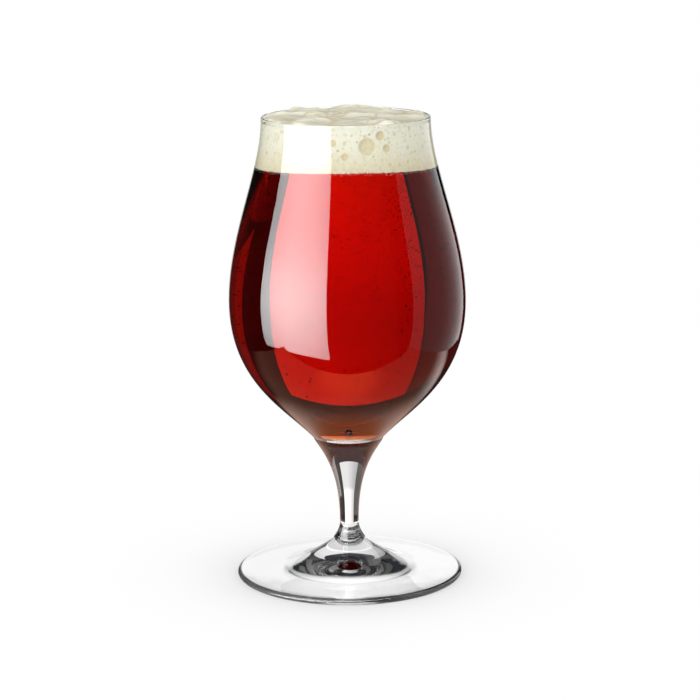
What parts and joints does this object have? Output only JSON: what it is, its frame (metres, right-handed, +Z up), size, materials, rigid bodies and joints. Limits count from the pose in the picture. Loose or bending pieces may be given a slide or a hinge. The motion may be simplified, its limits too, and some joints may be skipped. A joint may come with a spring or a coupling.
{
  "type": "stemmed tulip beer glass",
  "caption": "Stemmed tulip glass on a round foot, filled with clear red ale under a cream head of foam that reaches the rim; for serving strong beer.",
  "frame": {"origin": "centre of the surface that the foot stands on", "axes": "+Z up along the axis of the glass; the glass is round, so X and Y are any two directions across it"},
  "size_m": [0.0892, 0.0892, 0.1768],
  "materials": {
    "clear_glass": "clear, fire polished",
    "red_ale": "clear deep red liquid with fine bubbles",
    "beer_foam": "matte cream foam with tan bubbles"
  },
  "bodies": {
    "root": {"foot": "clear_glass", "stem": "clear_glass", "bowl": "clear_glass", "beer": "red_ale", "foam_head": "beer_foam"}
  },
  "joints": []
}
